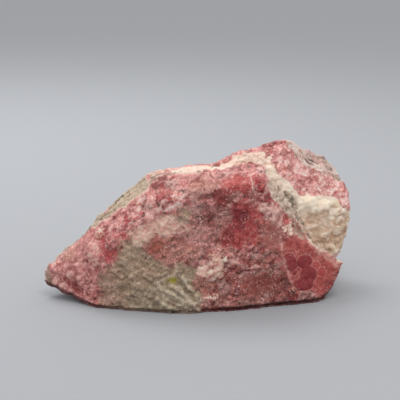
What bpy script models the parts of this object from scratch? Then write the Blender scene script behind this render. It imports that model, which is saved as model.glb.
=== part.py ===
"""A rough hand specimen of rhodochrosite, lying on its long flat underside.

The stone is one piece: a pink front slab, a thin cream vein behind it, a second pink slab that
rises to the peak, and a curdled lump of cream calcite on the right. It is blocked out from convex
fracture blocks, merged, and then broken up with ledges, pits, crevices and crystal faces.
The work is done in millimetres, x right, y back, z up, and the finished mesh is scaled to metres.
"""

import random

import bmesh
import bpy
from mathutils import Matrix, Vector, geometry, noise

NODE = "rhodochrosite_stone"
MM = 0.001
GRAIN = 0.8  # voxel that the blocks are merged with
TRIANGLES = 9000

# Corners of the blocks that the stone is broken into.
FRONT_SLAB = (
    (-34, -17, -1.5), (-20, -19.5, -1.5), (-2, -22, -1.5), (15, -18, -1.5), (36, -12, -1.5), (44, -9, -1.5),
    (-28, -15, 25), (-20, -10.5, 39), (-11, -13, 39), (6, -13, 42), (22, -9, 44),
    (-15, -6, 46.5), (0, -6, 47), (17, -2, 47.5), (23, 2, 48.5), (26, -3, 45), (30, -8, 28),
    (-31, 6, 28), (-17, 3, 45), (20, 8, 47), (40, 4, 16), (42, 4, -1.5), (-30, 8, -1.5),
)
LEFT_HORN = (
    (-56, -2, 9.5), (-55.5, -3, 4.5), (-51.5, 2, 14), (-49.5, -7, 3.5), (-43.5, -11, 2), (-34, -17, -1.5),
    (-42, -11.5, 9), (-28, -15, 25), (-20, -10.5, 39), (-20, -19.5, -1.5),
    (-16.5, 3, 45.5), (-26, 2.5, 36.5), (-37.5, 1.5, 26.5), (-44.5, 0.5, 20.5),
    (-50, 3, 6), (-36, 9, 3), (-20, 12, -1.5),
)
RIGHT_TOE = (
    (53, -4, 13.5), (49, -5, 15.5), (30, -8, 27), (49, -7, 4.5), (44.5, -9, -1.5),
    (30, -14, -1.5), (51, 4, 12), (46, 8, 0), (30, 5, 24), (25, 0, -1.5),
)
CORE = (
    (-17, 3, 45), (-12, 9, 45.5), (5, 10, 46.5), (20, 8, 47.5), (-31, 2.5, 31), (-38, 4, 22),
    (-40, 4, 2), (-24, 17, -1.5), (0, 26, -1.5), (30, 24, -1.5), (42, 11, -1.5),
    (45, -3, -1.5), (47, 3, 2), (47, 8, 10), (-26, 14, 22), (-8, 20, 30), (14, 24, 32), (39, 9, 33),
)
BACK_SLAB = (
    (4, 9, 46.5), (9, 10.5, 48.5), (16, 13, 51.5), (24, 14, 53), (29.5, 15, 54.2), (35.5, 17, 54.2),
    (39, 20, 51), (47.5, 24, 48), (51, 25, 44), (53, 24.5, 40), (56, 21, 37.5), (57.5, 17.5, 34),
    (57.8, 15.5, 29), (37, 5, 36), (27, 3, 46), (52, 12, 20), (47, 22, 14), (30, 25, 10), (14, 25, 30),
)
VEIN = (
    (23, 2, 48), (26.5, 0, 43.5), (30, -2.5, 35), (37, -3.5, 25), (46, -3, 17),
    (31, 5, 45), (37, 5, 35), (41, 1, 26), (47, 3, 15), (24, 8, 40), (36, 8, 16),
)
CALCITE_LUMP = (
    (37, 4, 35.5), (45, 9, 34.5), (50, 13, 34), (58, 15, 29.5), (58.5, 15, 25.5), (57, 13, 20.5),
    (55, 11, 15.5), (52.5, 8, 10.5), (45, 1, 15), (39, -1, 20), (40, -1, 24), (36, 8, 20), (46, 16, 12),
)
BLOCKS = (FRONT_SLAB, LEFT_HORN, RIGHT_TOE, CORE, BACK_SLAB, VEIN, CALCITE_LUMP)

# The curds that crust the calcite lump: corners of its face, from top left round to bottom left.
CURD_FACE = ((39, 3.5, 34), (56, 14, 30), (53.5, 9.5, 13.5), (43, 0.5, 19))
CURD_ROWS = 7
CURD_RADIUS = 2.0
CURD_SIZES = (0.7, 1.25)  # smallest and largest share of that radius
CURD_SEED = 4

# Ridges, ledges, hollows and cracks: how far each reaches from the line that it follows, how high it
# stands out of the stone (less than 0 where it goes in), and that line.
FORMS = (
    (5, 1.2, ((-13, -12, 38), (6, -13, 41.5), (21, -9.5, 43.5))),  # brow over the front face
    (12, -2.2, ((7, -18, 30), (14, -17, 26))),  # hollow under the brow
    (3.5, 1.6, ((-1, -20, 10), (4, -18.5, 14), (9, -16.5, 19.5))),  # crystal ledge low on the front
    (2.5, 0.8, ((29.5, -10.5, 20), (31, -11.5, 12.5), (35.5, -12, 3.5))),  # seam down the left of the toe
    (3, -1.5, ((45.5, -9, 0), (48, -7.5, 5.5))),  # chipped right end of the toe
    (4.5, 1.0, ((-38.5, -9.5, 20.5), (-35.5, -12.5, 17.5))),  # round boss on the left slope
    (2.5, -1.8, ((-51, -6, 8), (-46.5, -8.5, 6.5), (-42, -11, 4.5))),  # torn pits below the left tip
    (2, -1.6, ((-40, -12.5, 8.5), (-39.5, -12.5, 7.5))),  # small round hole beside them
    (2.5, -2.4, ((33, 3, 36.5), (37, 1, 29.5), (39.5, 0, 25), (44, 0, 19), (49, 1, 14))),  # round the lump
    (2, -1.3, ((37, 19, 52.5), (44, 20, 48), (50, 20, 43))),  # weathered crack behind the peak
    (2, -1.1, ((42, 23, 50.5), (49, 22, 45), (54, 20, 40))),  # second crack beside it
    (10, -2.5, ((-6, 21, 16), (6, 25, 12))),  # hollow low on the back
    (8, -1.8, ((32, 24, 28), (40, 22, 24))),  # hollow in the back slab
    (12, -3.4, ((-14, -2, -1.5), (2, -6, -1.5))),  # hollow in the underside, to the left
    (9, -3.2, ((26, 6, -1.5), (30, 10, -1.5))),  # hollow in the underside, to the right
)

# Crystal faces: the width of the crystals and how far a face leans out of the surface.
CRYSTALS = ((8.0, 0.7), (3.0, 0.3))
LEAN_STEP = 7.3  # spreads neighbouring crystals over unlike cells, so that each leans its own way
# The curds have none: a line through the lump, and how far round it the surface stays round.
CURD_LINE = ((42, 2, 24), (55, 12, 23))
CURD_REACH = 16
# Slow swells of the whole surface.
SWELL_WIDTH = 14.0
SWELL_HEIGHT = 0.9

STONE_PINK = (0.52, 0.24, 0.22, 1.0)
STONE_ROUGHNESS = 0.6


def only(kind, items):
    return [item for item in items if isinstance(item, kind)]


def hull(bm, corners):
    """Adds the convex block with these corners."""
    points = [bm.verts.new(corner) for corner in corners]
    made = bmesh.ops.convex_hull(bm, input=points, use_existing_faces=False)
    inner = only(bmesh.types.BMVert, made["geom_interior"] + made["geom_unused"])
    bmesh.ops.delete(bm, geom=list(dict.fromkeys(inner)), context="VERTS")


def curds(bm):
    """Rows of half-sunk balls over the calcite lump's face, in uneven sizes."""
    dice = random.Random(CURD_SEED)
    top_left, top_right, low_right, low_left = (Vector(corner) for corner in CURD_FACE)
    for row in range(CURD_ROWS):
        for column in range(CURD_ROWS):
            down = (row + dice.random()) / CURD_ROWS
            across = (column + dice.random()) / CURD_ROWS
            place = top_left.lerp(top_right, across).lerp(low_left.lerp(low_right, across), down)
            size = CURD_RADIUS * dice.uniform(*CURD_SIZES)
            bmesh.ops.create_icosphere(bm, subdivisions=2, radius=size, matrix=Matrix.Translation(place))


def object_of(name, bm, collection):
    mesh = bpy.data.meshes.new(name)
    bm.to_mesh(mesh)
    bm.free()
    made = bpy.data.objects.new(name, mesh)
    collection.objects.link(made)
    return made


def evaluated(thing):
    """The object's mesh with its modifiers applied, as a bmesh. The object is removed."""
    graph = bpy.context.evaluated_depsgraph_get()
    bm = bmesh.new()
    bm.from_object(thing, graph)
    bpy.data.objects.remove(thing)
    return bm


def merged_blocks(collection):
    bm = bmesh.new()
    for corners in BLOCKS:
        hull(bm, corners)
    curds(bm)
    bmesh.ops.recalc_face_normals(bm, faces=bm.faces)
    blank = object_of("blank", bm, collection)
    remesh = blank.modifiers.new("merge", "REMESH")
    remesh.mode = "VOXEL"
    remesh.voxel_size = GRAIN
    return evaluated(blank)


def nearness(place, line, reach):
    """1 on the line, falling smoothly to 0 at its reach."""
    distance = reach
    for start, end in zip(line, line[1:]):
        start, end = Vector(start), Vector(end)
        nearest, along = geometry.intersect_point_line(place, start, end)
        nearest = start.lerp(end, min(max(along, 0.0), 1.0))
        distance = min(distance, (place - nearest).length)
    share = 1.0 - distance / reach
    return share * share * (3.0 - 2.0 * share)


def crystal_face(place, width):
    """How far a leaning crystal face stands out of the surface here, from about -1 to 1."""
    middle = noise.voronoi(place / width)[1][0]
    lean = noise.cell_vector(middle * LEAN_STEP) - Vector((0.5, 0.5, 0.5))
    return 2.0 * lean.dot(place / width - middle)


def weather(bm):
    """Moves the surface in and out along its normals."""
    bm.normal_update()
    moves = []
    for vertex in bm.verts:
        place = vertex.co
        out = SWELL_HEIGHT * noise.noise(place / SWELL_WIDTH)
        out += sum(height * nearness(place, line, reach) for reach, height, line in FORMS)
        faces = sum(height * crystal_face(place, width) for width, height in CRYSTALS)
        out += faces * (1.0 - nearness(place, CURD_LINE, CURD_REACH))
        moves.append(vertex.normal * out)
    for vertex, move in zip(bm.verts, moves):
        vertex.co += move


def thinned(bm, collection):
    """The same surface with about TRIANGLES triangles."""
    bmesh.ops.triangulate(bm, faces=bm.faces)
    ratio = TRIANGLES / len(bm.faces)
    thick = object_of("thick", bm, collection)
    decimate = thick.modifiers.new("thin", "DECIMATE")
    decimate.ratio = ratio
    return evaluated(thick)


def wear_foot(bm):
    """Cuts the underside off flat at the ground and closes it."""
    geom = bm.verts[:] + bm.edges[:] + bm.faces[:]
    cut = bmesh.ops.bisect_plane(bm, geom=geom, plane_co=(0, 0, 0), plane_no=(0, 0, -1), clear_outer=True)
    bmesh.ops.triangle_fill(bm, edges=only(bmesh.types.BMEdge, cut["geom_cut"]), use_beauty=True)
    bmesh.ops.recalc_face_normals(bm, faces=bm.faces)


def stand_at_origin(bm):
    """Puts the middle of the bounding box's floor at the origin."""
    lowest = Vector([min(vertex.co[axis] for vertex in bm.verts) for axis in range(3)])
    highest = Vector([max(vertex.co[axis] for vertex in bm.verts) for axis in range(3)])
    middle = (lowest + highest) / 2
    bmesh.ops.translate(bm, vec=(-middle.x, -middle.y, -lowest.z), verts=bm.verts)


def stone_material():
    material = bpy.data.materials.new("rhodochrosite")
    material.use_nodes = True
    shader = material.node_tree.nodes["Principled BSDF"]
    shader.inputs["Base Color"].default_value = STONE_PINK
    shader.inputs["Roughness"].default_value = STONE_ROUGHNESS
    shader.inputs["Metallic"].default_value = 0.0
    return material


def main():
    for old in list(bpy.data.objects):
        bpy.data.objects.remove(old)
    parts = bpy.data.collections.new("rhodochrosite specimen")
    bpy.context.scene.collection.children.link(parts)
    bm = merged_blocks(parts)
    weather(bm)
    bm = thinned(bm, parts)
    wear_foot(bm)
    stand_at_origin(bm)
    bmesh.ops.scale(bm, vec=(MM, MM, MM), verts=bm.verts)
    stone = object_of(NODE, bm, parts)
    stone.data.materials.append(stone_material())


main()
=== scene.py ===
import math

import bmesh
import bpy
import numpy as np
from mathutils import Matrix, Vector, noise


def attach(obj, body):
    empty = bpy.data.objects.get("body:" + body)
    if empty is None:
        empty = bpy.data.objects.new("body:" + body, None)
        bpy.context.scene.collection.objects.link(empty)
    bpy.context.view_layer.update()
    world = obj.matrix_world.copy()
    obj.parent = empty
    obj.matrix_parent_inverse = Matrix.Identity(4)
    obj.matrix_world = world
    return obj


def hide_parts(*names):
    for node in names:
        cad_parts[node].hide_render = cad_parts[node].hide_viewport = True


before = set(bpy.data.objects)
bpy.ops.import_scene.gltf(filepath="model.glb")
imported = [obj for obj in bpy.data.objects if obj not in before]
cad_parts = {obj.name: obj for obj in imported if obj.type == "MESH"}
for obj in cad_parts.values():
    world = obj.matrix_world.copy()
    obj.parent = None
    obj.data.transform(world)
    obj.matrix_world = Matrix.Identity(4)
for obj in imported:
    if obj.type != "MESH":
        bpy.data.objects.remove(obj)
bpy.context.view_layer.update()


# Camera: an 85 mm lens about 34 cm away, looking a little down on the stone's broad pink front.
LOOK_AT = Vector((-0.0001, -0.0022, 0.0354))
CAMERA_DISTANCE = 0.340
CAMERA_RISE = math.radians(14)
CAMERA_LENS = 85
CAMERA_SENSOR = 36
CAMERA_NEAR = 0.01

camera = bpy.data.objects.new("camera", bpy.data.cameras.new("camera"))
bpy.context.scene.collection.objects.link(camera)
camera.data.lens = CAMERA_LENS
camera.data.sensor_width = CAMERA_SENSOR
camera.data.clip_start = CAMERA_NEAR
away = Vector((0, -math.cos(CAMERA_RISE), math.sin(CAMERA_RISE)))
camera.location = LOOK_AT + CAMERA_DISTANCE * away
camera.rotation_euler = away.to_track_quat("Z", "Y").to_euler()
bpy.context.scene.camera = camera
bpy.context.scene.view_settings.view_transform = "Standard"


# Floor and light: a pale, slightly blue-grey paper floor under an even sky. A large soft box hangs
# overhead, behind the stone and to its left, and throws the soft shadow to the right. A weaker one
# above the front brightens the ledges that look up at it.
FLOOR_RADIUS = 6.0
FLOOR_GREY = (0.38, 0.391, 0.412, 1)
FLOOR_ROUGHNESS = 0.9
FLOOR_GLOSS = 0.1
SKY_WHITE = (1, 1, 1, 1)
SKY_STRENGTH = 0.86
# Each light's name, width, watts and place.
SOFT_BOXES = (
    ("soft_box", 0.32, 1.9, (-0.2, 0.3, 0.56)),
    ("top_light", 0.2, 0.5, (0.1, -0.14, 0.5)))

floor_shape = bmesh.new()
bmesh.ops.create_circle(floor_shape, cap_ends=True, segments=64, radius=FLOOR_RADIUS)
floor = bpy.data.objects.new("floor", bpy.data.meshes.new("floor"))
floor_shape.to_mesh(floor.data)
floor_shape.free()
bpy.context.scene.collection.objects.link(floor)
floor_paper = bpy.data.materials.new("floor_paper")
floor_paper.use_nodes = True
paper_shader = floor_paper.node_tree.nodes["Principled BSDF"]
paper_shader.inputs["Base Color"].default_value = FLOOR_GREY
paper_shader.inputs["Roughness"].default_value = FLOOR_ROUGHNESS
paper_shader.inputs["Specular IOR Level"].default_value = FLOOR_GLOSS
floor.data.materials.append(floor_paper)

sky = bpy.data.worlds.new("sky")
bpy.context.scene.world = sky
sky.use_nodes = True
sky.node_tree.nodes["Background"].inputs["Color"].default_value = SKY_WHITE
sky.node_tree.nodes["Background"].inputs["Strength"].default_value = SKY_STRENGTH
for name, width, watts, spot in SOFT_BOXES:
    soft_box = bpy.data.objects.new(name, bpy.data.lights.new(name, "AREA"))
    soft_box.data.size = width
    soft_box.data.energy = watts
    soft_box.location = spot
    bpy.context.scene.collection.objects.link(soft_box)


# The stone: one broken lump of vein rock. Its surface starts as a fine, slightly worn copy of the
# solid, and each mineral below then adds its own relief and colour to it. The work is done in
# millimetres: across to the right, back, and high above the shelf.
MM = 0.001
FINENESS = 0.00048
WEAR = 0.5
WEAR_ROUNDS = 5

coarse = bmesh.new()
coarse.from_mesh(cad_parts["rhodochrosite_stone"].data)
bmesh.ops.remove_doubles(coarse, verts=coarse.verts, dist=1e-6)
blank = bpy.data.objects.new("blank", bpy.data.meshes.new("blank"))
coarse.to_mesh(blank.data)
coarse.free()
bpy.context.scene.collection.objects.link(blank)
refine = blank.modifiers.new("refine", "REMESH")
refine.mode = "VOXEL"
refine.voxel_size = FINENESS
wear = blank.modifiers.new("wear", "SMOOTH")
wear.factor = WEAR
wear.iterations = WEAR_ROUNDS
surface = bpy.data.meshes.new_from_object(blank.evaluated_get(bpy.context.evaluated_depsgraph_get()))
bpy.data.objects.remove(blank)
surface.shade_smooth()
stone = bpy.data.objects.new("rhodochrosite", surface)
bpy.context.scene.collection.objects.link(stone)

count = len(surface.vertices)
place = np.empty(count * 3)
surface.vertices.foreach_get("co", place)
place = place.reshape(count, 3) / MM
across, back, high = place.T
seen = place[:, (0, 2)]
outward = np.empty(count * 3)
surface.vertices.foreach_get("normal", outward)
outward = outward.reshape(count, 3)
upward = outward[:, 2]
lift = np.zeros(count)


# The layers of the rock, from the front to the back: the pink front slab, the carbonate vein, the
# pink back slab, and a weathered rind. Three sheets part them, each drawn through places on the
# surface where it comes out; inside the rock they run straight on.
def behind(*spots):
    """How far each point is behind a sheet in the rock that runs through these places."""
    spots = np.array(spots, float)
    gaps = np.linalg.norm(seen[:, None] - spots[None, :, (0, 2)], axis=2)
    weights = 1 / (gaps ** 4 + 1)
    return back - weights @ spots[:, 1] / weights.sum(axis=1)


past_front = behind(
    (-57, -7, 8), (-53.5, -4.6, 13), (-50, -3.8, 16), (-46.5, -2.6, 19), (-43, -2.8, 22),
    (-40, -3.4, 24), (-37, -5.5, 26), (-31, -8, 31.5), (-25, -11, 37), (-20, -11.5, 40),
    (-16, -10, 43.5), (-14, -9, 46), (-5, -8, 46.5), (2, -7.5, 47), (7, -5, 47.3), (10.5, -2.5, 47.5),
    (13, 4.5, 47.5), (18, 5.5, 48.3), (21, 4.5, 48), (22.4, 3, 47.4), (22.8, -2, 46.5),
    (23.4, -6.7, 44.7), (24, -8.7, 41.5), (25.5, -9.2, 37.8), (28.2, -7.7, 34.6), (30.2, -5.7, 32.2),
    (31.8, -4.9, 29.8), (33.3, -4.2, 27.7), (38, -5, 23), (41.5, -8, 20), (47.5, -5.5, 15.5),
    (50.5, -6.5, 14), (-40, -7, 3), (-20, -8, 3), (0, -9, 3), (25, -9, 3), (45, -7, 3))
past_vein = behind(
    (-57, 1.5, 8), (-50, 3, 15), (-42, 2, 22), (-30, 2, 32), (-15, 4, 44), (-5, 5, 46), (5.5, 6, 46.5),
    (9.5, 6.5, 47.5), (13.5, 8.5, 50), (18, 9.2, 50.6), (22.5, 9, 51), (25, 6.5, 49.5),
    (26, 3.7, 47.4), (27.3, 1.8, 45.6), (28.7, 0.4, 43.3), (31.4, 1.5, 42.2), (33.5, 1, 39.5),
    (35.5, 2, 36.5), (36, 3, 30), (48, 4, 15), (-40, 2, 3), (-20, 3, 3), (0, 4, 3), (25, 6, 3),
    (45, 6, 3))
past_back = behind(
    (-50, 5, 14), (-30, 5, 31), (-15, 7, 43), (-5, 10, 46), (5, 13, 47), (15, 15.5, 50), (25, 16, 53),
    (30, 14, 54), (32.5, 11.3, 52.8), (34.5, 11, 49.5), (39.5, 11.5, 44.5), (44.5, 12.5, 42),
    (50.5, 16.5, 39.5), (54, 16, 37.5), (55, 16, 28), (-40, 5, 3), (-20, 9, 3), (0, 14, 3),
    (25, 17, 3), (45, 16, 3))
front_slab = -past_front
vein = np.minimum(past_front, -past_vein)
rind = past_back


# Rhodochrosite, both slabs: massive pink manganese carbonate, broken to a sugary face. Grains from
# half a millimetre to three run from deep red in the pits to nearly white where they catch light.
# The front slab's broken face is duller than its top and the back slab: faces that do not look
# up are painted darker as shade, most of all lower down on its right.
SUGAR = ((0.0, (0.20, 0.035, 0.036)), (0.25, (0.37, 0.095, 0.09)), (0.5, (0.57, 0.215, 0.20)),
         (0.75, (0.79, 0.37, 0.335)), (1.0, (0.96, 0.64, 0.575)))
FRONT_SHADE_TINT = (0.70, 0.48, 0.43)
LOW_SHADE_TINT = (0.58, 0.33, 0.30)
DEEP = (0.20, 0.022, 0.026)
GLINT = (0.92, 0.62, 0.55)
VEIL = (0.54, 0.32, 0.28)
NET = (0.30, 0.05, 0.048)
FINE_GRAIN = 0.95
TINY_GRAIN = 0.45
BIG_CRYSTAL = 3.0
SMALL_CRYSTAL = 1.5
NOISE_SEED = 4
# Outlines wander from where they are drawn: two swells, each of a width and a height.
WIDE_SWELL, WIDE_WANDER = 4.5, 1.5
CLOSE_SWELL, CLOSE_WANDER = 1.7, 0.8

material = bpy.data.materials.new("rhodochrosite")
material.use_nodes = True
surface.materials.clear()
surface.materials.append(material)
tree = material.node_tree
shader = tree.nodes["Principled BSDF"]


class Tone:
    """A socket of the stone's material; sums and products of it add the Math nodes."""

    def __init__(self, socket):
        self.socket = socket

    def __add__(self, other):
        return maths("ADD", self, other)

    def __sub__(self, other):
        return maths("SUBTRACT", self, other)

    def __rsub__(self, other):
        return maths("SUBTRACT", other, self)

    def __mul__(self, other):
        return maths("MULTIPLY", self, other)

    def __gt__(self, other):
        return maths("GREATER_THAN", self, other)

    def held(self):
        """Held between 0 and 1."""
        return maths("ADD", self, 0.0, use_clamp=True)

    __radd__ = __add__
    __rmul__ = __mul__


def node(kind, settings, inputs):
    """One node of the material: its settings or a ramp's stops, then its sockets' values or links."""
    made = tree.nodes.new("ShaderNode" + kind)
    stops = settings.pop("stops", ())
    for name, value in settings.items():
        setattr(made, name, value)
    for position, shade in stops[2:]:
        made.color_ramp.elements.new(position)
    for stop, (position, shade) in zip(made.color_ramp.elements if stops else (), stops):
        stop.position = position
        stop.color = (*shade, 1)
    for name, value in inputs.items():
        if isinstance(value, Tone):
            tree.links.new(value.socket, made.inputs[name])
        else:
            made.inputs[name].default_value = value
    return made


def maths(operation, *values, **settings):
    return Tone(node("Math", {"operation": operation, **settings}, dict(enumerate(values))).outputs[0])


def mixed(share, under, over, how="MIX"):
    """The colour under, covered by the colour over as far as the share says."""
    under, over = ((*c, 1) if isinstance(c, tuple) else c for c in (under, over))
    made = node("Mix", {"data_type": "RGBA", "blend_type": how}, {0: share, 6: under, 7: over})
    return Tone(made.outputs[2])


def speckle(width, detail=2.0, seed=0.0):
    """Fine noise, from about -1 to 1, with grains of this width."""
    made = node("TexNoise", {"noise_dimensions": "4D"},
                {"Vector": spot_mm, "W": seed, "Scale": 1 / width, "Detail": detail, "Roughness": 0.65})
    return Tone(made.outputs["Fac"]) * 4.0 - 2.0


def grains(width):
    """Fine crystals of this width: two lots from 0 to 1 for each, and how far its face leans out."""
    made = node("TexVoronoi", {"feature": "F1"}, {"Vector": spot_mm, "Scale": 1 / width})
    chance = Tone(made.outputs["Color"])
    lots = node("SeparateColor", {}, {"Color": chance})
    from_middle = node("VectorMath", {"operation": "SUBTRACT"},
                       {0: spot_mm, 1: Tone(made.outputs["Position"])})
    tilt = node("VectorMath", {"operation": "SUBTRACT"}, {0: chance, 1: (0.5, 0.5, 0.5)})
    lean = node("VectorMath", {"operation": "DOT_PRODUCT"},
                {0: Tone(from_middle.outputs["Vector"]), 1: Tone(tilt.outputs["Vector"])})
    return Tone(lots.outputs["Red"]), Tone(lots.outputs["Green"]), Tone(lean.outputs["Value"]) * (1 / width)


def kept(name, values):
    """Stores a value for each point of the surface, for the material to read."""
    stored = surface.attributes.new(name, "FLOAT", "POINT")
    stored.data.foreach_set("value", values.astype(np.float32))
    return Tone(node("Attribute", {"attribute_name": name}, {}).outputs["Fac"])


def share_in(name, field, soft=0.5, ragged=0.7, grainy=0.0):
    """1 where a field of millimetres is above 0, with an edge this soft, ragged and broken up by grain."""
    edge = kept(name, np.clip(field, -6, 6)) + frayed * ragged + (grain_tone - 0.5) * grainy
    return (edge * (1 / soft) + 0.5).held()


def sugared(colour, dark=0.6, pale=0.3, towards=GLINT):
    """A colour whose grains run from this much darker to this much nearer to a pale one."""
    darker = tuple(part * share for part, share in zip(colour, (dark, dark ** 1.25, dark ** 1.25)))
    paler = tuple(part + (end - part) * pale for part, end in zip(colour, towards))
    return mixed(grain_tone, darker, paler)


def smooth(share):
    """From 0 to 1 with no corner at either end."""
    share = np.clip(share, 0, 1)
    return share * share * (3 - 2 * share)


def to_segment(at, start, end):
    """How far these places are from a straight line between two ends."""
    run = end - start
    along = np.clip((at - start) @ run / (run @ run), 0, 1)
    return np.linalg.norm(at - start - along[:, None] * run, axis=1)


def inside(*corners):
    """How far each point is inside an outline drawn on the front, as (x, z); below 0 outside it."""
    corners = [np.array(corner, float) for corner in corners]
    nearest = np.full(count, np.inf)
    within = np.zeros(count, bool)
    for start, end in zip(corners, corners[1:] + corners[:1]):
        nearest = np.minimum(nearest, to_segment(drawn, start, end))
        rise = end[1] - start[1]
        if rise:
            crossing = start[0] + (drawn[:, 1] - start[1]) / rise * (end[0] - start[0])
            within ^= ((start[1] > drawn[:, 1]) != (end[1] > drawn[:, 1])) & (drawn[:, 0] < crossing)
    return np.where(within, nearest, -nearest)


def drawn_out(direction, share):
    """The places, shortened to this share along a direction, so that what is laid on them is long."""
    along = np.array(direction, float) / np.linalg.norm(direction)
    return place - (1 - share) * (place @ along)[:, None] * along


def cloud(width, seed=0.0, spots=place):
    """Soft noise, from about -1 to 1, with swells of this width."""
    shift = Vector((seed, 3 * seed, -seed))
    return np.array([noise.noise(Vector(spot) / width + shift) for spot in spots])


def crystals(width, bent=0.15, spots=place):
    """Grains of this width: how far each face leans out, how deep in its grain it is, its lot."""
    lean_step = 7.3
    leaning, depth, lot = np.empty(count), np.empty(count), np.empty(count)
    for index, spot in enumerate(spots / width):
        spot = Vector(spot)
        spot += bent * noise.noise_vector(spot * 1.3)
        gaps, middles = noise.voronoi(spot)
        chance = noise.cell_vector(middles[0] * lean_step)
        leaning[index] = (chance - Vector((0.5, 0.5, 0.5))).dot(spot - middles[0])
        depth[index] = gaps[1] - gaps[0]
        lot[index] = chance.x
    return leaning, depth, lot


# The noise module starts from the clock, so its seed is set before it moves anything.
noise.seed_set(NOISE_SEED)
wander = np.array([noise.noise_vector(Vector(spot) / WIDE_SWELL) * WIDE_WANDER
                   + noise.noise_vector(Vector(spot) / CLOSE_SWELL) * CLOSE_WANDER for spot in place])
drawn = seen + wander[:, (0, 2)]

# Sockets that all the minerals share: the place, a ragged edge, and how light each grain is.
coordinates = node("TexCoord", {}, {})
scaled = node("VectorMath", {"operation": "SCALE"},
              {0: Tone(coordinates.outputs["Object"]), "Scale": 1 / MM})
spot_mm = Tone(scaled.outputs["Vector"])
frayed = speckle(1.4, detail=3.0)
fine_lot, fine_other, fine_lean = grains(FINE_GRAIN)
tiny_lot, tiny_other, tiny_lean = grains(TINY_GRAIN)
grain_tone = (fine_lot * 0.4 + tiny_lot * 0.35 + speckle(2.0, seed=4) * 0.25 + 0.12).held()

# The sugar: crystals, pits and streaks, lighter on the back slab, with a pale patch on the front's
# upper left and two richer ones on the peak. Painted light makes faces that look up lighter, and
# painted shade darkens the back slab's upturned tops and the upturned faces on the left slope.
big_lean, _, big_lot = crystals(BIG_CRYSTAL)
small_lean, small_depth, small_lot = crystals(SMALL_CRYSTAL)
swell = cloud(3.6, seed=3)
pit = smooth((swell - 0.15) / 0.35)
streak = cloud(1.5, seed=5, spots=drawn_out((0.7, 0, -0.7), 0.35)) * smooth(past_vein / 2)
blotch = np.tanh(3.5 * (cloud(2.8, seed=8) + 0.5 * cloud(1.3, seed=9)))
# Paler back slab, plus painted light: upturned faces lighter, the back slab's own upturned tops darker.
pale_back_and_painted_light = ((0.26 - 0.3 * smooth((upward - 0.6) / 0.3)) * smooth(past_vein / 2)
               + 0.1 * smooth((upward - 0.25) / 0.3))
pale_patch = smooth(inside(
    (-25, 34.5), (-21, 39), (-14, 40.5), (-5, 40.5), (-5, 36.5), (-13, 33.5), (-17, 29.5),
    (-25, 29)) / 3 + 0.5)
rich_patch = smooth(np.maximum(
    inside((31, 46), (35.5, 44.5), (35.5, 41), (31, 41.5)),
    inside((36, 40.5), (41, 39.5), (41.5, 36.5), (36, 37))) / 3 + 0.6)
# The term on upward over the left slope is painted shade on its upturned faces.
clump = (0.5 + 0.36 * pale_patch - 0.18 * rich_patch + pale_back_and_painted_light
         - 0.1 * smooth((high - 43) / 4) * smooth((across - 20) / 4)
         + 0.2 * cloud(7, seed=1) + 0.12 * blotch + 0.25 * streak
         - 0.1 * smooth((high - 13) / 4) * smooth((-28 - across) / 5) * smooth((upward - 0.2) / 0.3)
         + 0.12 * smooth((-46 - across) / 4)
         + 0.12 * (big_lot - 0.5) + 0.18 * (small_lot - 0.5) - 0.2 * pit)
sugar_tone = kept("sugar", clump) + (fine_lot - 0.5) * 0.22 + (tiny_lot - 0.5) * 0.16
colour = Tone(node("ValToRGB", {"stops": SUGAR}, {"Fac": sugar_tone.held()}).outputs["Color"])
# Painted shade: faces of the front slab that do not look up are darkened, more so lower on the right.
front_shade = (smooth(front_slab / 2 + 0.5) * smooth((0.5 - upward) / 0.35) * smooth((across + 34) / 12)
        * (1 - 0.6 * smooth((high - 30) / 8)) * (1 - 0.9 * pale_patch))
colour = mixed(kept("front_shade", front_shade), colour, FRONT_SHADE_TINT, "MULTIPLY")
low_front_shade = front_shade * smooth(across / 14) * smooth((30 - high) / 12)
colour = mixed(kept("low_front_shade", low_front_shade) * 0.7, colour, LOW_SHADE_TINT, "MULTIPLY")
# Painted highlight: thin pale lines run through the grain as light caught on crystal rims.
glint_lines = (1 - maths("ABSOLUTE", speckle(1.5, detail=3.0, seed=9)) * 7.0).held()
colour = mixed(glint_lines * 0.4, colour, GLINT)
colour = mixed((fine_other > 0.93) * 0.4, colour, DEEP)
roughness = 0.55 - fine_other * 0.2
grain_height = fine_lean * 1.0 + tiny_lean * 0.5 + glint_lines * 0.15
pink = np.maximum(front_slab, np.minimum(past_vein, -rind))
sugar_lift = ((1 - 0.5 * smooth((-38 - across) / 6))
              * (0.8 * big_lean + 0.5 * small_lean - 0.35 * pit + 0.25 * swell))
lift += smooth(pink + 0.5) * sugar_lift

# A greyish veil and a net of dark grain boundaries over the middle and right of the front.
middle = np.minimum(front_slab - 1, (across + 20) / 2)
veil = np.minimum(middle, cloud(5, seed=71) * 5 + cloud(1.8, seed=72) * 2.5 - 0.4)
veil_share = share_in("veil", veil, soft=2.0, ragged=1.0)
colour = mixed(veil_share * 0.65, colour, sugared(VEIL, dark=0.65, pale=0.35))
net = np.minimum(middle, (0.7 - 9 * abs(cloud(5, seed=73)) + 1.5 * cloud(9, seed=74)
                          + cloud(1.5, seed=75)))
net_share = share_in("net", net, soft=1.2, ragged=0.9)
colour = mixed(net_share * 0.75, colour, sugared(NET, dark=0.65, pale=0.12))


# Deep red rhodochrosite in the front slab: clearer, glassier crystal with little sugar on it, in
# blots between the paler grains. The largest has a darker heart; small brown-red pits lie round it
# and along the tip.
CRIMSON = (0.54, 0.036, 0.044)
HEART_RED = (0.25, 0.016, 0.026)
RED_BROWN = (0.31, 0.036, 0.036)
STRAY = 0.35

strayed = place + STRAY * wander


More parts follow.
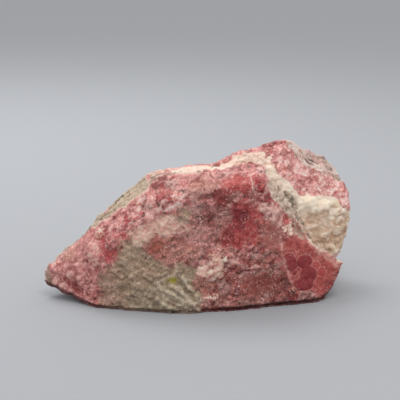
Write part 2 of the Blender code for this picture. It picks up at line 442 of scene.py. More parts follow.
def from_line(*spots):
    """How far each point is from a line through these places, or through (x, z) seen from the front."""
    ends = [np.array(spot, float) for spot in spots]
    at = strayed if len(ends[0]) == 3 else strayed[:, (0, 2)]
    return np.min([to_segment(at, start, end) for start, end in zip(ends, ends[1:])], axis=0)


def patches(*outlines):
    """How far each point is inside the nearest of these outlines, each grown by its first number."""
    return np.maximum.reduce([inside(*corners) + grown for grown, *corners in outlines])


def strands(*lines):
    """How far each point is inside the nearest of these rods: each has a radius and the places on it."""
    return np.maximum.reduce([radius - from_line(*spots) for radius, *spots in lines])


red = np.minimum(front_slab, patches(
    (0, (13.5, 38.5), (19, 37), (21.5, 34.5), (21.5, 32.5), (20, 30), (17.5, 29), (16.5, 25.5),
     (16, 22.5), (14, 21.5), (7.5, 22), (7, 25), (9, 27.5), (11, 30.5), (11, 34)),
    (0, (14.5, 34), (20, 34), (20.5, 28), (18.5, 23.5), (14.5, 23.5), (14, 29)),
    (0, (22, 41.5), (24.5, 40.5), (25, 38.5), (25, 36.5), (23, 36.5), (22, 38.5)),
    (0, (29.5, 32.5), (31, 30.5), (31.5, 28), (29.5, 28), (28, 29), (29, 30.5)),
    (0, (-39.5, 23.5), (-37, 25.5), (-34, 27), (-33, 25.5), (-34, 23.5), (-33, 21.5), (-29.5, 22.5),
     (-28.5, 19.5), (-31, 16.5), (-33.5, 16.5), (-34, 20.5), (-36, 22.5)),
    (0, (-29.5, 26), (-26.5, 27.5), (-26, 25.5), (-28, 24)),
    (0, (-26.5, 32), (-24, 33), (-23.5, 31.5), (-26, 30)),
    (0, (-15.5, 41.5), (-13, 43), (-10.5, 41.5), (-10, 39), (-13, 38), (-15.5, 39.5)),
    (0, (-50, 7.8), (-47, 7.2), (-44.5, 5.2), (-42, 4.8), (-42.5, 3), (-45.5, 4), (-48, 6))))
red_share = share_in("red", red + 1.2 * cloud(1.6, seed=76), soft=1.6, ragged=2.0, grainy=2.6)
colour = mixed(red_share * 0.9, colour, sugared(CRIMSON, dark=0.55, pale=0.16))
red_heart = patches(
    (0, (11.5, 35), (16, 35), (16.5, 31.5), (15, 28), (13, 27.5), (12, 30.5)),
    (-0.3, (22.2, 41.3), (24.5, 40.6), (25.2, 38.5), (24.8, 36.5), (22.6, 36.7), (21.9, 38.8)))
heart_share = share_in("red_heart", np.minimum(red_heart, front_slab), soft=1.6, ragged=1.4)
colour = mixed(heart_share * 0.8, colour, sugared(HEART_RED, dark=0.7, pale=0.05))
lift -= 0.3 * smooth(red / 1.2)
red_pits = np.maximum(
    patches(
        (0.3, (3, 41.5), (7.5, 42.5), (11, 41), (10.5, 38), (7, 36.5), (5.5, 38), (3, 39)),
        (0, (0, 34.5), (2.5, 35.5), (4.2, 34.5), (4.5, 31.5), (2, 30.5), (0, 32)),
        (0.3, (8, 26.5), (10.5, 27.5), (11.5, 25), (9, 24))),
    strands(
        (0.9, (-50.1, -7.6, 7.1), (-47.7, -9.2, 6.2)),
        (1.0, (-45.4, -10.7, 5.1), (-43.1, -11.9, 4.4)),
        (0.9, (-40.9, -13.5, 6.9), (-40.9, -13.5, 7.8))))
pit_share = share_in("red_brown", np.minimum(red_pits, front_slab), soft=1.0, ragged=1.8, grainy=3.0)
colour = mixed(pit_share * 0.9, colour, sugared(RED_BROWN, dark=0.6, pale=0.1))


# Brow: coral-red crystal along the front slab's upper right edge, ending at the vein in a round
# ball with a pale skin and a darker streak beside it.
BROW_RED = (0.55, 0.056, 0.052)
STREAK_RED = (0.36, 0.035, 0.045)

brow = inside((7.5, 43), (8.7, 46), (14, 45.7), (18, 45.6), (18.2, 41.6), (13.7, 41), (9.5, 41.2))
brow_share = share_in("brow", np.minimum(brow + 0.3, front_slab), soft=1.6, ragged=1.4, grainy=1.0)
colour = mixed(brow_share * 0.9, colour, sugared(BROW_RED, dark=0.7, pale=0.16))
brow_ball = inside((17.6, 45.6), (18, 43), (19.5, 40.5), (22, 40.2), (23.8, 42), (23.8, 44.5),
                   (22.3, 46.4), (19.6, 46.8))
ball_field = kept("brow_ball", np.clip(np.minimum(brow_ball, front_slab), -6, 6)) + frayed * 0.3
colour = mixed((ball_field * 1.5 + 0.3).held() * 0.6, colour, sugared(BROW_RED, dark=0.6, pale=0.3))
colour = mixed((1 - maths("ABSOLUTE", ball_field) * 2.0).held() * 0.65, colour, GLINT)
brow_streak = np.minimum(front_slab, strands(
    (0.8, (19.4, -11.6, 44.9), (20.4, -12.8, 43), (21.5, -12, 41.1))))
streak_share = share_in("brow_streak", brow_streak, soft=0.8, ragged=0.8)
colour = mixed(streak_share * 0.8, colour, STREAK_RED)
lift += 0.3 * smooth(brow_ball / 1.2)


# Dull patches of the front slab: greyish mauve sugar in the middle, smooth brown faces, an orange
# iron smear under the brow, near the tip and under the pale crystals, darker, richer stains, and
# painted shade that darkens the lower front just above the floor.
MAUVE = (0.46, 0.175, 0.155)
BROWN = (0.43, 0.12, 0.095)
SMEAR = (0.53, 0.22, 0.16)
STAIN_AND_SHADE_TINT = (0.68, 0.48, 0.46)

mauve = inside((-12.5, 27), (-8.5, 33), (-3.5, 36), (4, 36.5), (10, 36), (11.5, 33), (10.5, 29),
               (8, 26), (7, 21), (1, 20), (-4, 22.5))
mauve_share = share_in("mauve", np.minimum(mauve, front_slab), soft=4.0, ragged=2.0)
colour = mixed(mauve_share * 0.6 * (1 - red_share), colour, sugared(MAUVE, dark=0.65, pale=0.35))
brown = np.minimum(front_slab, patches(
    (0.4, (22.5, 28), (24.5, 29), (28, 28.5), (30, 24), (28.5, 20), (24.5, 20.5), (22.5, 24)),
    (-1.5, (13, 12), (18, 13.5), (24, 12), (29, 13), (30, 5), (18, 3), (11, 5))))
brown_share = share_in("brown", brown, soft=2.0, ragged=1.2)
colour = mixed(brown_share * 0.75, colour, sugared(BROWN, dark=0.8, pale=0.12))
smear = np.minimum(front_slab, patches(
    (0, (-3.5, 43.5), (1.5, 45), (7.5, 44.5), (7.5, 43.2), (3, 42.8), (-3.5, 41.8)),
    (0, (-51, 14.5), (-49, 16.5), (-45, 19), (-44, 18), (-45.5, 15.5), (-48.5, 13.5), (-50, 13)),
    (0.4, (-1.2, 14), (2, 14), (5, 12.5), (5, 9), (2, 7), (-1.2, 8))))
smear_share = share_in("smear", smear, soft=1.6, ragged=1.0)
colour = mixed(smear_share * 0.8, colour, sugared(SMEAR, dark=0.75, pale=0.2))
# Stains on the upper and middle front; the outlines along the bottom are painted shade.
stain_and_low_shade = np.minimum(front_slab, patches(
    (0, (-0.5, 43), (4.7, 43.5), (5, 40), (0, 39)),
    (0, (0.5, 34.5), (4.7, 34.5), (5.4, 29), (1.3, 29)),
    (0, (20, 12), (29, 13.5), (30.5, 8.5), (35.5, 5.5), (34.5, 2), (10, 2), (15, 8)),
    (0.5, (4, 24.5), (14, 24), (14.5, 20), (9.5, 20.5), (4.5, 20)),
    (-0.6, (5, 39), (9, 39), (10, 35), (5.5, 34.5)),
    (-0.6, (15, 34), (19, 34), (19, 30), (15, 30)),
    (0, (1, 6), (8, 7), (24, 8), (24, 4), (8, 3), (1, 3)),
    (0.4, (-41, 4), (-36, 4), (-31, 2), (-36, 0))))
stain_and_shade_share = share_in("stain_and_low_shade", stain_and_low_shade, soft=3.0, ragged=2.0, grainy=2.0)
colour = mixed(stain_and_shade_share * 0.85, colour, STAIN_AND_SHADE_TINT, "MULTIPLY")


# Manganese-poor crust on the lower left of the front: a curdled grey-olive to beige carbonate, paler
# and pinker at its top, greener below, where slanting ridges cross it, with one sulphur-green speck.
# Raised fibres are painted lighter as highlight and the hollows between them darker as shade, the
# gaps between the curds are painted darker as shade, and the paler ridges are partly painted
# highlight along their raised tops.
OLIVE = (0.46, 0.31, 0.20)
OLIVE_GLINT = (0.82, 0.64, 0.47)
OLIVE_GREEN = (0.43, 0.34, 0.225)
GREEN_GLINT = (0.80, 0.70, 0.52)
OLIVE_PALE = (0.95, 0.68, 0.53)
OLIVE_YELLOW = (0.55, 0.43, 0.285)
OLIVE_LIGHT = (0.78, 0.58, 0.41)
OLIVE_PINK = (0.54, 0.28, 0.21)
LIT_FIBRE_TOP = (0.72, 0.60, 0.45)
FIBRE_GAP_SHADE = (0.28, 0.205, 0.135)
CRUST_GAP_SHADE = (0.27, 0.17, 0.11)
PINK_TOP = (0.98, 0.58, 0.47)
LIT_RIDGE_TOP = (0.72, 0.62, 0.47)
SPECK = (0.30, 0.24, 0.03)

crust = np.minimum(front_slab, inside(
    (-36, -3), (-35, 6.5), (-36, 10), (-34, 14), (-31, 15), (-29.5, 18), (-29, 21.5), (-28, 24),
    (-26, 25.5), (-23.5, 28), (-20, 30), (-17.5, 32), (-14, 33.5), (-9, 34), (-4.5, 36), (-3, 34),
    (-5, 29.5), (-8.5, 28), (-12, 27), (-17, 26.5), (-18, 24), (-19, 22), (-17.5, 20), (-14.5, 17.5),
    (-10.5, 16), (-5.5, 18), (-1, 16), (-1, 13.5), (-1.5, 10), (0, 7), (0, 3.5), (1, 1), (1, -3)))
crust_share = share_in("crust", crust, soft=2.2, ragged=2.2)
curd_lean, curd_depth, curd_lot = crystals(2.2, bent=0.9)
crust_pale = share_in("crust_pale", inside(
    (-20, 30), (-17.5, 32.5), (-14, 33.5), (-9.5, 32), (-6, 29.5), (-5, 26), (-10, 26), (-12.5, 27),
    (-17, 26.5), (-19, 25.5), (-23, 25), (-24.5, 27)) + 1.0 + 1.5 * cloud(2.5, seed=12),
    soft=3.0, ragged=1.0)
crust_green = share_in("crust_green", inside(
    (-24.5, 7.5), (-17.5, 9.5), (-11, 14), (-7, 15), (-1, 13.5), (-1, -3), (-28, -3)),
    soft=4.0, ragged=2.0)
crust_yellow = share_in("crust_yellow", inside(
    (-6, 10), (-1, 10), (-1, 6), (-4, 5), (-6.5, 7)), soft=3.0)
crust_colour = mixed(crust_green, sugared(OLIVE, dark=0.55, pale=0.5, towards=OLIVE_GLINT),
                     sugared(OLIVE_GREEN, dark=0.55, pale=0.5, towards=GREEN_GLINT))
crust_colour = mixed(crust_yellow * 0.8, crust_colour, OLIVE_YELLOW)
crust_colour = mixed(crust_pale * 0.9, crust_colour, sugared(OLIVE_PALE, dark=0.75, pale=0.35))
pinker = -26 - across + 3 * cloud(6, seed=14) - 0.25 * high
pinker_share = share_in("crust_blush", pinker, soft=6.0, ragged=2.0)
crust_colour = mixed(pinker_share * 0.65, crust_colour, sugared(OLIVE_PINK, dark=0.7, pale=0.4))
crust_light = share_in("crust_light", inside(
    (-29, 24.5), (-20, 25), (-19, 20), (-29, 19)), soft=4.0, ragged=2.0)
crust_colour = mixed(crust_light * 0.4, crust_colour, sugared(OLIVE_LIGHT, dark=0.75, pale=0.3))
fibre = cloud(1.3, seed=15, spots=drawn_out((0.85, 0, -0.5), 0.3))
fibres = kept("fibres", fibre)
# Painted highlight on the raised fibres and painted shade in the hollows between them.
lit_fibre_top = (fibres * 2.2 - 0.2).held()
fibre_gap_shade = (-0.2 - fibres * 2.2).held()
crust_colour = mixed(lit_fibre_top * 0.6, crust_colour, sugared(LIT_FIBRE_TOP, pale=0.2))
crust_colour = mixed(fibre_gap_shade * (0.6 - crust_pale * 0.4), crust_colour, FIBRE_GAP_SHADE)
# Painted shade in the gaps between the curds, with some random darker curds.
curd_gap_shade = 0.7 * smooth(1 - curd_depth / 0.5) + 0.4 - 0.8 * curd_lot - 0.3 * blotch
gap_shade_share = (kept("curd_gap_shade", curd_gap_shade) * 0.6).held()
crust_colour = mixed(gap_shade_share * (1 - crust_pale * 0.6), crust_colour, CRUST_GAP_SHADE)
crust_colour = mixed(crust_pale * 0.6, crust_colour, sugared(PINK_TOP, dark=0.82, pale=0.4))
ridge_gap = np.minimum.reduce([
    from_line((-14, -21.5, 9), (-9, -22, 6), (-6, -22.5, 3.5)),
    from_line((-10, -21, 9.5), (-5, -22.5, 5.5), (0, -23, 1)),
    from_line((-15, -21.5, 5), (-10, -22.5, 1.5)),
    from_line((-6, -21, 12), (-2.5, -22.5, 8))])
# Ridge tops: paler crust, partly painted highlight where the ridges are raised.
ridge = smooth(1 - ridge_gap / 1.5) * smooth(crust)
crust_colour = mixed(kept("ridge", ridge) * 0.6, crust_colour, LIT_RIDGE_TOP)
colour = mixed(crust_share, colour, crust_colour)
speck_share = share_in("speck", strands((1.1, (-10.2, -21, 11.5), (-9.4, -21, 11.3))), soft=0.8)
colour = mixed(speck_share, colour, SPECK)
crust_lift = (0.25 * smooth(curd_depth / 0.8) + 0.3 * curd_lot + 0.35 * curd_lean + 0.1 * blotch
              + 0.25 * swell + 0.9 * ridge + 0.35 * fibre - 0.25)
lift += smooth(crust + 0.5) * (crust_lift - 0.7 * sugar_lift)


# Salmon face that breaks through the crust: smooth, iron-stained carbonate, rustier in its middle.
SALMON = (0.46, 0.15, 0.11)
SALMON_HEART = (0.40, 0.095, 0.06)

salmon = np.minimum(front_slab, inside(
    (-18.5, 22), (-17.5, 24.5), (-16.5, 26), (-13, 26.5), (-7, 25.5), (-5, 23.5), (1, 22.5), (1, 20),
    (-3.5, 18), (-7.5, 18.5), (-11, 17), (-14.5, 18), (-17.5, 20)))
salmon_share = share_in("salmon", salmon, soft=1.6, ragged=1.6)
colour = mixed(salmon_share * 0.85, colour, sugared(SALMON, dark=0.7, pale=0.3))
salmon_heart = np.minimum(front_slab, inside(
    (-18, 22), (-17, 25), (-12.5, 25.5), (-10, 23), (-13, 20.5), (-16, 19.5)))
heart_share = share_in("salmon_heart", salmon_heart, soft=1.5)
colour = mixed(heart_share * 0.7, colour, sugared(SALMON_HEART, dark=0.85, pale=0.1))


# Pale crystals standing proud of the front: a ledge of cream ones in the middle, flesh-pink ones
# beside the vein, a flat oval boss near the tip, and loose white grains.
CREAM_CRYSTAL = (0.90, 0.60, 0.47)
FLESH = (0.76, 0.42, 0.36)

ledge = np.maximum(
    patches(
        (0.3, (4.5, 17.5), (6, 18), (8, 17.5), (8, 15), (7.3, 13.5), (5.6, 12.5), (4.6, 14.5), (3.8, 16)),
        (0.35, (-0.5, 15), (1.5, 15.5), (2.2, 14), (1.5, 13), (-0.5, 13.5)),
        (0.25, (2.6, 14.6), (4.5, 15), (5.5, 12.5), (4.5, 11), (2.6, 12.5)),
        (0.2, (5, 20), (6, 19.7), (9, 19.4), (8.5, 18), (7, 17.8), (5.5, 18.8)),
        (-0.6, (0, 6), (2, 6.8), (6, 5.8), (6.5, 4), (3.5, 4), (0.5, 4.5)),
        (0, (29.5, 27.5), (32, 27), (34.5, 25), (33.5, 23.5), (30.5, 25.5))),
    strands(
        (1.3, (-36.5, -10, 25), (-35.5, -10, 25.4)),
        (1.0, (32.5, -8, 22.3), (33.2, -8, 22.5))))
ledge = np.minimum(ledge + 0.7, front_slab) - 0.9 * smooth(1 - small_depth / 0.2)
ledge_share = share_in("ledge", ledge, soft=0.5, ragged=0.7)
colour = mixed(ledge_share * 0.9, colour, sugared(CREAM_CRYSTAL, dark=0.72, pale=0.4))
flesh = np.maximum(
    patches(
        (0, (21.5, 36.5), (24, 36), (25, 33), (23, 32), (21, 34)),
        (0, (25, 36), (29, 33), (30, 28.5), (27.5, 27.5), (25, 29.5), (24, 33)),
        (-0.5, (9.5, 19.5), (14, 19), (14.5, 15.5), (10.5, 14.5)),
        (0, (-40, 22), (-38, 22.5), (-35.5, 22), (-34.5, 20.5), (-35, 18), (-36, 15.5), (-38, 14),
         (-39.5, 15.5), (-40.5, 19)),
        (-0.5, (19, 17.5), (21.5, 14.5), (20.5, 12.5), (18, 14.5)),
        (-0.2, (-17, 36), (-14, 37), (-12, 35), (-15, 33.5))),
    strands(
        (1.3, (-52.6, -7.6, 6.1), (-51.8, -7.8, 7)),
        (1.2, (-49.9, -9.3, 5.2), (-49, -9.5, 5.5)),
        (1.4, (-46.7, -10.6, 9.4), (-46.5, -10.8, 10.4)),
        (1.1, (-43.6, -12.8, 9), (-43, -13, 9.6)),
        (1.0, (-46.8, -11.3, 4), (-46.2, -11.5, 4.2))))
flesh = np.minimum(flesh, front_slab)
flesh_share = share_in("flesh", flesh, soft=0.6, ragged=0.6)
colour = mixed(flesh_share * 0.8, colour, sugared(FLESH, dark=0.75, pale=0.3))
lift += 0.8 * smooth(ledge / 0.8 + 0.3) * (0.6 + 0.6 * small_lot) + 0.4 * smooth(flesh / 1.0 + 0.2)


# Toe of the front slab: clear orange-red rhodochrosite with round crimson nodules in it, each a
# glassy ball of radial crystal in a thin pale skin, polished a little where the chip has cut them.
# A pale seam parts the toe from the sugar, and another runs along its top.
GLOW = (0.50, 0.046, 0.038)
NODULE = (0.28, 0.02, 0.028)
NODULE_SKIN = (0.62, 0.24, 0.20)
SMALL_NODULE = (0.45, 0.05, 0.05)

glow = np.minimum(front_slab, inside(
    (30.5, 23.5), (34, 24), (38.5, 22.5), (41, 19.5), (50.5, 14), (47, 4), (42, 3.5), (34.5, 6),
    (31, 10), (28.5, 14), (28.5, 19)))
glow_share = share_in("glow", glow, soft=2.0, ragged=1.2)
colour = mixed(glow_share * 0.88, colour, sugared(GLOW, dark=0.65, pale=0.18))
ring = np.minimum(front_slab, strands(
    (1.5, (41.3, 13.4), (41.6, 13.2)),
    (1.6, (43.6, 10.8), (43.9, 10.3))))
ring_field = kept("ring", ring)
colour = mixed((ring_field * 3 + 0.5).held() * 0.6, colour, SMALL_NODULE)
colour = mixed((1 - maths("ABSOLUTE", ring_field) * 3.0).held() * 0.5, colour, NODULE_SKIN)
nodule = np.minimum(front_slab, strands(
    (2.3, (31.2, 16.6), (32.3, 14.2)),
    (2.4, (36.6, 14.9), (37.6, 14.8)),
    (3.1, (38.4, 10.4), (39.2, 10)),
    (2.4, (36.4, 7.2), (38.2, 7)),
    (1.1, (34.2, 8), (34.5, 7.5)),
    (0.8, (33.2, 11.5), (34, 11.2))))
nodule_field = kept("nodule", nodule)
nodule_share = (nodule_field * 3.5 + 0.5).held()
skin = (1 - maths("ABSOLUTE", nodule_field) * 3.0).held()
colour = mixed(nodule_share, colour, sugared(NODULE, dark=0.85, pale=0.06))
colour = mixed(skin * 0.6, colour, NODULE_SKIN)
lift += 0.35 * np.sqrt(np.clip(nodule, 0, 2) / 2) - 0.2 * smooth(1 - abs(nodule) / 0.4)
seam = np.minimum(front_slab, strands(
    (0.4, (28.6, 22.5), (29.3, 17.5), (30.3, 13), (32, 9.5), (33.3, 5.5)),
    (1.1, (42.1, -8.3, 18.5), (45.9, -7.2, 15.9), (49.2, -6.9, 12.8))))
seam_share = share_in("seam", seam, soft=0.6, ragged=0.8)
colour = mixed(seam_share * 0.55, colour, FLESH)
roughness = roughness - nodule_share * 0.15 - glow_share * 0.08


# Vein between the slabs: calcite and manganese-poor carbonate. It is cream where it is fresh, along
# the top and beside the back slab, grey-green and speckled on the right, and olive down the left
# slope, between a pale line and a brown one. Islands of pink sugar show through it on the top.
CREAM = (0.98, 0.75, 0.60)
CREAM_GLINT = (0.97, 0.88, 0.78)
CHALK_TAN = (0.78, 0.54, 0.42)
VEIN_PINK = (0.74, 0.43, 0.37)
GREY_GREEN = (0.76, 0.61, 0.47)
GREY_SPECK = (0.16, 0.12, 0.09)
YELLOWED = (0.60, 0.46, 0.32)
SLOPE_OLIVE = (0.37, 0.315, 0.195)
SLOPE_BROWN = (0.30, 0.19, 0.15)
SLOPE_CREAM = (0.95, 0.72, 0.56)
TOP_BROWN = (0.22, 0.17, 0.13)
BAND = (0.72, 0.44, 0.35)
RIM_CREAM = (0.99, 0.83, 0.67)

islands = 3.2 - 8 * cloud(7, seed=69) - 4 * cloud(2.4, seed=70) + 9 * smooth((across - 4) / 6)
vein_share = share_in("vein", np.minimum(vein, islands), soft=0.5, ragged=0.8)
vein_lean, _, vein_lot = crystals(2.4)
vein_bumps = cloud(1.6, seed=64)
vein_colour = sugared(CREAM, dark=0.78, pale=0.5, towards=CREAM_GLINT)
chalk = 0.4 * smooth((high - 44) / 2) + cloud(5, seed=63) + 0.8 * vein_bumps + 0.4 * (vein_lot - 0.5)
tan_share = (0.12 - kept("chalk", chalk) * 1.3).held()
vein_colour = mixed(tan_share, vein_colour, sugared(CHALK_TAN, dark=0.75, pale=0.4))
vein_edge = kept("vein_edge", smooth(1 - vein / 2.5) * (0.5 + cloud(3, seed=65)))
vein_colour = mixed(vein_edge * 0.45, vein_colour, sugared(VEIN_PINK, pale=0.4))
grey_vein = inside(
    (22, 47), (24.3, 46.7), (25.8, 45), (27.5, 42.2), (29, 41), (30, 39), (32, 36.5), (33.7, 33.3),
    (35.7, 30), (37.4, 26.8), (36, 24.5), (31, 28), (28, 31), (25, 36), (22, 40), (20, 45))
grey_share = share_in("grey_vein", grey_vein + 0.3, soft=1.6, ragged=1.4)
vein_colour = mixed(grey_share * 0.8, vein_colour,
                    sugared(GREY_GREEN, dark=0.55, pale=0.6, towards=CREAM))
yellow_share = share_in("yellow_vein", -10 - across, soft=8.0, ragged=2.0)
vein_colour = mixed(yellow_share * 0.75, vein_colour,
                    sugared(YELLOWED, dark=0.75, pale=0.45, towards=CREAM))
slope_share = share_in("slope_vein", np.minimum(-18.5 - across, across + 41), soft=3.0, ragged=2.0)
vein_colour = mixed(slope_share * 0.62, vein_colour,
                    sugared(SLOPE_OLIVE, dark=0.75, pale=0.4, towards=CREAM))
vein_colour = mixed((tiny_lot > 0.93) * grey_share * 0.5, vein_colour, GREY_SPECK)
band = np.minimum(1.3 - past_front, 7 - across)
band_share = share_in("band", band, soft=0.8, ragged=0.6)
vein_colour = mixed(band_share * 0.8, vein_colour, sugared(BAND, pale=0.4))
slope_edge = np.minimum(1.6 - past_front, -30 - across)
slope_edge_share = share_in("slope_edge", slope_edge, soft=1.2, ragged=1.0)
vein_colour = mixed(slope_edge_share * 0.6, vein_colour, SLOPE_BROWN)
slope_line = np.minimum.reduce([0.9 - past_front, -18 - across, across + 39])
slope_line_share = share_in("slope_line", slope_line, soft=0.5, ragged=0.5)
vein_colour = mixed(slope_line_share * 0.6, vein_colour, SLOPE_CREAM)
top_edge = np.minimum.reduce([0.35 - abs(past_front - 0.8), -9 - across, across + 21])
top_edge_share = share_in("top_edge", top_edge, soft=0.5, ragged=0.7)
vein_colour = mixed(top_edge_share * 0.6, vein_colour, TOP_BROWN)
colour = mixed(vein_share, colour, vein_colour)
rim = inside(
    (25, 49), (26, 47.4), (27.5, 45.6), (29, 43.5), (31.5, 42.2), (34, 39), (35.5, 36.5), (34.6, 35.4),
    (33.2, 35.6), (31.4, 38.2), (29, 40), (28, 41.3), (26.8, 43), (25.2, 45), (24, 46.5))
rim_share = share_in("rim", np.minimum(rim, vein) + 0.3, soft=0.8, ragged=0.8)
colour = mixed(rim_share * 0.9, colour, sugared(RIM_CREAM, dark=0.85, pale=0.2))


# Recess beside the lump: a ragged hollow that the vein has weathered out of, painted dark inside as
# its shade, with a damp-looking, speckled grey-green face round it.
DAMP_GREEN = (0.60, 0.53, 0.37)
DAMP_SPECK = (0.16, 0.14, 0.10)
RECESS_SHADE = (0.18, 0.155, 0.095)

damp = np.minimum(vein, inside(
    (27, 39.5), (31, 38.5), (33, 36.5), (35.2, 33), (38.2, 26.5), (37.6, 24), (33, 29.5), (27.8, 36)))
damp_share = share_in("damp", damp, soft=1.2, ragged=1.2, grainy=1.5)
colour = mixed(damp_share * 0.3, colour, sugared(DAMP_GREEN, dark=0.5, pale=0.6, towards=CREAM))
colour = mixed((tiny_lot > 0.9) * damp_share * 0.4, colour, DAMP_SPECK)
recess = strands(
    (0.9, (31, -2.4, 37.7), (32.5, -2, 36)),
    (1.2, (32.9, -2, 35.5), (34, -1.7, 33.5)),
    (0.9, (35.4, -2.6, 30), (36.4, -3.4, 28.2)),
    (0.8, (36.8, -3.8, 27.4), (37.9, -3.7, 26)))
recess = np.minimum(vein, recess + 0.6 * cloud(1.5, seed=60))
# Painted shade inside the hollow.
recess_shade_share = share_in("recess", recess, soft=0.6, ragged=0.6)
colour = mixed(recess_shade_share * 0.8, colour, RECESS_SHADE)
split = back + 1.4 - 0.8 * cloud(6, seed=62)
split_share = smooth((-16 - across) / 2) * smooth((across + 40) / 3)
vein_lift = (0.9 * vein_lean + 0.5 * small_lean + 0.35 * cloud(5, seed=6) + 0.3 * vein_bumps - 0.1
             + 0.7 * split_share * smooth(split / 0.8 + 0.5))
lift += smooth(vein + 0.5) * vein_lift - 0.9 * smooth(recess / 0.6 + 0.5)


# Lump at the blunt end: chalky calcite grown over the vein and the back slab in curds like those of
# a cauliflower, cream on their tops and tan in the gaps between them and lower down, the tan partly
# painted shade, under a smoother shelf painted paler cream as light on its upturned top.
CURD = (0.97, 0.80, 0.63)
CURD_GAP_SHADE = (0.60, 0.39, 0.26)
LIT_SHELF_CREAM = (1.0, 0.84, 0.67)
LARGE_CURD = 3.0
LITTLE_CURD = 1.5

lump = np.minimum.reduce([16 - back, past_front, inside(
    (35, 36), (40, 35.3), (46.5, 34.3), (49.5, 34.2), (52, 31.5), (54.5, 29.5), (59, 27.5), (59, 22),
    (57, 15), (47, 13), (46, 15.5), (41, 20.5), (38.5, 24.5), (37, 28), (35.7, 31.5), (35, 33.5))])
lump_share = share_in("lump", lump, soft=0.4, ragged=0.4)
layered = drawn_out((0.8, 0.5, 0), 0.45)
large_lean, large_depth, large_lot = crystals(LARGE_CURD, bent=0.3, spots=layered)
_, little_depth, _ = crystals(LITTLE_CURD, bent=0.5, spots=layered)
# Painted shade: tan in the gaps between curds and lower down on the lump, mixed with random tone.
gap_shade = (0.6 * smooth(1 - large_depth / 0.5) + 0.3 * smooth(1 - little_depth / 0.35)
       + 0.5 * (0.5 - large_lot) + 0.3 * cloud(4, seed=40) + 0.25 * smooth((28 - high) / 4) - 0.16)
# Painted light: the upturned shelf at the top is made paler cream.
shelf = smooth((high - 30.3 - 0.8 * cloud(5, seed=41)) / 1.5)
gap_shade_share = (kept("lump_gap_shade", gap_shade * (1 - 0.9 * shelf)) + speckle(0.9, seed=7) * 0.12).held()
lump_colour = mixed(gap_shade_share, sugared(CURD, dark=0.9, pale=0.5, towards=CREAM_GLINT), CURD_GAP_SHADE)
lump_colour = mixed(kept("shelf", shelf) * 0.75, lump_colour, LIT_SHELF_CREAM)
colour = mixed(lump_share, colour, lump_colour)
curds = (0.9 * smooth(large_depth / 1.0) + 0.3 * smooth(little_depth / 0.8) + 0.6 * large_lot
         + 0.15 * large_lean - 0.95)
lift += smooth(lump + 0.3) * (curds * (1 - 0.8 * shelf) + 0.45 * shelf)


# Rind: the weathered skin of the lump's old outer surface, on the back and over the right shoulder.
# Cream to grey, stained pink and brown, with dark cracks; in places it has spalled to fresh pink.
RIND_CREAM = (0.80, 0.58, 0.50)
RIND_GLINT = (0.95, 0.85, 0.78)
RIND_GREY = (0.50, 0.36, 0.30)
RIND_PINK = (0.70, 0.38, 0.35)

spall = cloud(11, seed=20) + 0.3 * cloud(4, seed=21) - 0.28
skin_field = np.minimum(rind, 3 * (0.12 - spall))
rind_share = share_in("rind", skin_field, soft=0.6, ragged=1.2)
rind_grain = drawn_out((0.7, 0, -0.7), 0.4)
stripe = cloud(2.4, seed=30, spots=rind_grain)
stripes = kept("stripes", stripe + 0.4 * cloud(9, seed=31) + 0.8 * smooth((17 - back) / 4))
rind_colour = mixed((stripes * 1.6 + 0.6).held(), sugared(RIND_GREY, dark=0.7, pale=0.3, towards=CREAM),
                    sugared(RIND_CREAM, dark=0.8, pale=0.4, towards=RIND_GLINT))
blush_share = (kept("blush", cloud(8, seed=33)) * 2 - 0.2).held()
rind_colour = mixed(blush_share * 0.8, rind_colour, sugared(RIND_PINK, dark=0.8, pale=0.3))
colour = mixed(rind_share, colour, rind_colour)
lift += smooth(skin_field + 0.5) * (0.5 * stripe + 0.3 * cloud(1.5, seed=36, spots=rind_grain) + 0.15)


# Cracks: open joints between the layers and across them, dark brown inside. The smooth faces are
# eased flat before the joints are cut.
DARK = (0.10, 0.075, 0.055)
NO_CRACK = 9
# Each joint's half width and the places it runs through.
JOINTS = (
    (0.35, (-13.5, -3.6, 45.8), (-7.3, -3.8, 46.5), (-2, -5.2, 46.8)),
    (0.6, (0, -5.7, 46.9), (3.6, -6.2, 47.3)),
    (0.5, (-36, -3, 28.5), (-34, -2.5, 30.5), (-31, -1.5, 33.5), (-28, -0.5, 36.8), (-25, 0.5, 40)),
    (0.4, (23.6, -11.5, 35.9), (23.8, -11.5, 35.6)),
    (0.35, (2.7, -3.2, 47.4), (4.6, 0.5, 47), (4.6, 4.5, 46.5), (6.1, 5.6, 46.6)),
    (0.2, (33, 12, 53), (35.1, 12, 50.2), (36.6, 11.5, 48)),
    (0.3, (36.8, 13.9, 50.2), (39.1, 14.2, 48.2), (41.8, 14.9, 46.6), (44.1, 14.8, 44.7)),
    (0.15, (38.3, 13, 48), (41, 13.2, 45.7), (44.8, 13.7, 43.4)),
    (0.15, (40.8, 15.8, 48.3), (44.7, 18.5, 46.3), (47, 18.5, 44)),
    (0.35, (34.4, -1.6, 32.6), (34.9, -1.7, 31.6), (36.1, -1.8, 30.1), (37.1, -2.2, 28.3),
     (38, -2.9, 26.6)),
    (0.1, (38.4, -4.4, 25), (38.4, -4.8, 23.8), (40.6, -4.8, 21.9), (42.5, -5.3, 19.4),
     (45.8, 0.3, 15.8), (48.2, 1.5, 15.1)),
    (0.1, (52, 11.1, 31.3), (53.7, 10, 30), (56.3, 11.8, 27.3)),
    (0.1, (-24.4, -15.9, 30.6), (-21.6, -15.9, 32.4), (-19.2, -15.5, 34.1)),
    (0.1, (-15.3, -16.2, 36), (-13.9, -16.4, 37.5), (-12.9, -16, 38.8)))

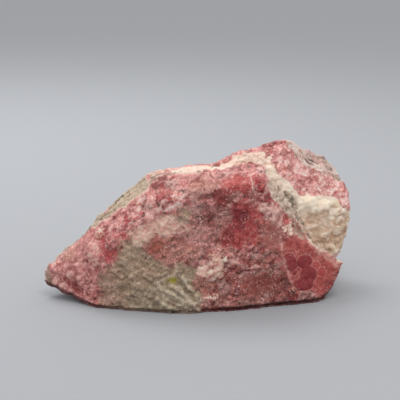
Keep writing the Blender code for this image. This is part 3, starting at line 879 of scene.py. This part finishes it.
calm = np.maximum.reduce([smooth(field + 0.5) for field in (red, glow, brown, smear, salmon_heart)])
lift -= 0.6 * calm * sugar_lift
rind_crack = (14 * abs(cloud(8, seed=34, spots=rind_grain) + 0.12 * stripe)
              + 4 * smooth(cloud(9, seed=35) + 0.3))
crack_gap = np.where(skin_field > 0.6, rind_crack, NO_CRACK)
waver = 0.2 + 2.2 * abs(cloud(2.6, seed=51))
for half_width, *spots in JOINTS:
    crack_gap = np.minimum(crack_gap, from_line(*spots) - half_width * waver)
hairline = 11 * abs(cloud(8, seed=66) + 0.15 * cloud(2, seed=67)) + 5 * smooth(cloud(7, seed=68) + 0.45)
crack_gap = np.minimum(crack_gap, np.where(vein > 0.3, hairline, NO_CRACK))
crack_gap = crack_gap + 0.35 * cloud(2.5, seed=50)
crack_share = ((0.32 + frayed * 0.4 - kept("crack", np.minimum(crack_gap, 4))) * 2.2).held()
colour = mixed(crack_share * 0.85, colour, DARK)
lift -= 0.5 * smooth(1 - crack_gap / 1.0)


# Foot: the lowest millimetre is worn back under the edge all round. What faces the shelf, and a thin
# line along the front's lower edge, is painted dark as shade: the contact shadow under the edge and
# the shade on faces that look down.
UNDER_SHADE = (0.075, 0.018, 0.02)
FOOT_WEAR = 1.0
WORN_HEIGHT = 1.5

under_edge = smooth(1 - high / WORN_HEIGHT) * smooth((upward + 0.75) / 0.3)
lift -= FOOT_WEAR * under_edge
front_line = 1.6 * smooth(across / 8) * smooth((-0.3 - outward[:, 1]) / 0.4)
horn_line = 0.25 * np.maximum(-32 - across, 0)
# Painted contact shadow along the lower edge, widest along the front and under the horn.
contact_shade = smooth((0.4 + front_line + horn_line + 0.4 * cloud(4, seed=52) - high) / 0.8)
# Painted shade on faces that look down near the floor.
underside_shade = smooth((0.05 - upward) / 0.5) * smooth(1 - high / 12) * 0.75
foot_shade_share = (kept("foot", np.maximum(contact_shade, underside_shade)) + frayed * 0.1).held()
colour = mixed(foot_shade_share * 0.85, colour, UNDER_SHADE)


# Finish: the relief is raised, the sole is kept flat, and the colour and grain go to the shader.
# Faces turned to the light by the relief are lighter and the others darker; here and there a fine
# grain glints or shows black, but hardly on the smooth minerals.
LIGHT_WAY = (-0.35, -0.3, 0.9)
GLINT_WHITE = (0.96, 0.76, 0.70)
GRAIN_RELIEF = 0.00035
GRAIN_STRENGTH = 0.8
GLOW_SHARE = 0.2
GLOW_REACH = (1.0, 0.35, 0.28)
GLOW_DEPTH = 0.001
GLOSS = 0.22

final = place + outward * lift[:, None]
final[:, 2] = np.maximum(final[:, 2], 0.0)
surface.vertices.foreach_set("co", (final * MM).astype(np.float32).ravel())
surface.update()
turned = np.empty(count * 3)
surface.vertices.foreach_get("normal", turned)
facing = (turned.reshape(count, 3) - outward) @ np.array(LIGHT_WAY)
flock = (kept("flock", cloud(3.5, seed=80)) * 1.5 + 0.4).held()
glint = ((speckle(0.55, detail=1.0, seed=11) + flock * 0.5 - 0.7) * 3.0).held() * (1 - foot_shade_share)
tick = (tiny_lot > 0.9) * (1 - flock)
light = (kept("facing", facing) * 0.55 + (tiny_other - 0.5) * 0.25 + (fine_other - 0.5) * 0.18
         + glint * 0.1 - tick * 0.2 + 0.5)
sleek = (vein_share * 0.45 + lump_share * 0.6 + crust_share * 0.35 + red_share * 0.35 + brow_share * 0.35
         + glow_share * 0.5 + nodule_share * 0.3 + brown_share * 0.4).held()
colour = mixed(1 - sleek, colour, light.held(), "OVERLAY")
colour = mixed(glint * (0.5 - sleek * 0.45), colour, GLINT_WHITE)

bump = node("Bump", {}, {"Height": grain_height, "Distance": GRAIN_RELIEF, "Strength": GRAIN_STRENGTH})
tree.links.new(colour.socket, shader.inputs["Base Color"])
tree.links.new(roughness.socket, shader.inputs["Roughness"])
tree.links.new(bump.outputs["Normal"], shader.inputs["Normal"])
shader.inputs["Subsurface Weight"].default_value = GLOW_SHARE
shader.inputs["Subsurface Radius"].default_value = GLOW_REACH
shader.inputs["Subsurface Scale"].default_value = GLOW_DEPTH
shader.inputs["Specular IOR Level"].default_value = GLOSS

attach(stone, "root")
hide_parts("rhodochrosite_stone")
